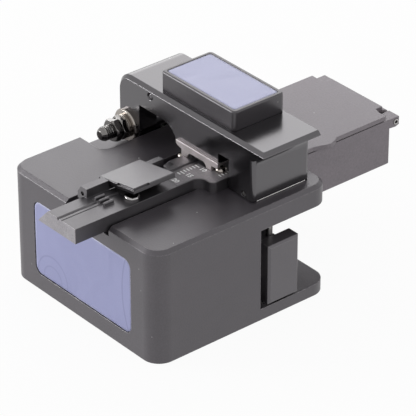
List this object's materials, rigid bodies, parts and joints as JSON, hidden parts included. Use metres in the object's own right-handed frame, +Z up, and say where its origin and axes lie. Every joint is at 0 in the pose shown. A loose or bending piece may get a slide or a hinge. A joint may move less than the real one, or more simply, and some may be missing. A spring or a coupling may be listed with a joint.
{
  "type": "fibre cleaver",
  "caption": "Bench-top fibre cleaver with a fibre holder and clamp lid, hinged press arm, sliding blade carriage and rear scrap bin.",
  "frame": {"origin": "centre of the housing's underside, on the surface that the cleaver stands on", "axes": "+X to the side that the blade knob is on, +Y to the rear where the scrap bin is, +Z up; the label is on the -Y face"},
  "size_m": [0.0605, 0.1032, 0.0545],
  "materials": {
    "housing_black": "matte black anodised",
    "arm_black": "satin black anodised",
    "holder_black": "matte black anodised",
    "scale_black": "satin with light marks",
    "bin_black": "fine grained matte",
    "label_blue": "printed film, plain",
    "label_pale": "printed film, plain",
    "steel": "machined",
    "steel_bright": "polished",
    "bracket_silver": "stamped sheet",
    "rubber_black": "matte"
  },
  "bodies": {
    "base": {"base_housing": "housing_black", "front_label_plate": "label_blue", "base_mat": "rubber_black", "slide_rail": "steel", "rail_screws": "steel", "strike_plate": "steel", "rear_fibre_rest": "holder_black", "rest_screws": "steel", "lower_clamp_pads": "rubber_black", "hinge_block": "arm_black", "hinge_block_screws": "steel", "hinge_shaft": "steel_bright", "hinge_nuts": "steel_bright", "hinge_sleeve": "steel_bright", "fibre_holder": "holder_black", "holder_screws": "steel_bright", "scale_plate": "scale_black", "guide_comb": "holder_black", "holder_pad": "rubber_black", "lid_magnet": "steel_bright", "lid_pin": "steel", "scrap_bin": "bin_black", "bin_screws": "steel", "bin_pin": "steel"},
    "arm": {"arm_frame": "arm_black", "hinge_bushes": "steel_bright", "arm_magnet": "steel_bright", "magnet_set_screw": "steel", "anvil": "steel", "arm_cap": "arm_black", "cap_label_plate": "label_pale", "cap_screws": "steel", "clamp_bracket": "bracket_silver", "bracket_screws": "steel", "upper_clamp_pads": "rubber_black"},
    "carriage": {"carriage": "holder_black", "guide_pin": "steel", "slider_knob": "arm_black", "knob_screws": "steel", "blade_plate": "steel", "plate_screws": "steel", "blade_axle": "steel"},
    "blade": {"blade": "steel_bright", "blade_hub": "steel"},
    "clamp_lid": {"clamp_lid": "arm_black", "lid_pad": "rubber_black", "lid_keeper": "steel"},
    "bin_lid": {"bin_lid": "bin_black"}
  },
  "joints": [
    {"name": "arm_hinge", "type": "hinge", "parent": "base", "child": "arm", "pos_m": [-0.0245, 0.016, 0.0344], "axis": [0, -1, 0], "range_deg": [0, 90]},
    {"name": "carriage_slide", "type": "slide", "parent": "base", "child": "carriage", "axis": [-1, 0, 0], "range_m": [0, 0.02]},
    {"name": "blade_turn", "type": "hinge", "parent": "carriage", "child": "blade", "pos_m": [0.0116, 0.0146, 0.02905], "axis": [0, 1, 0], "continuous": true},
    {"name": "clamp_lid_hinge", "type": "hinge", "parent": "base", "child": "clamp_lid", "pos_m": [-0.0008, -0.0137, 0.0366], "axis": [0, -1, 0], "range_deg": [-9.5, 85]},
    {"name": "bin_lid_hinge", "type": "hinge", "parent": "base", "child": "bin_lid", "pos_m": [0.0035, 0.0626, 0.0331], "axis": [-1, 0, 0], "range_deg": [0, 110]}
  ]
}
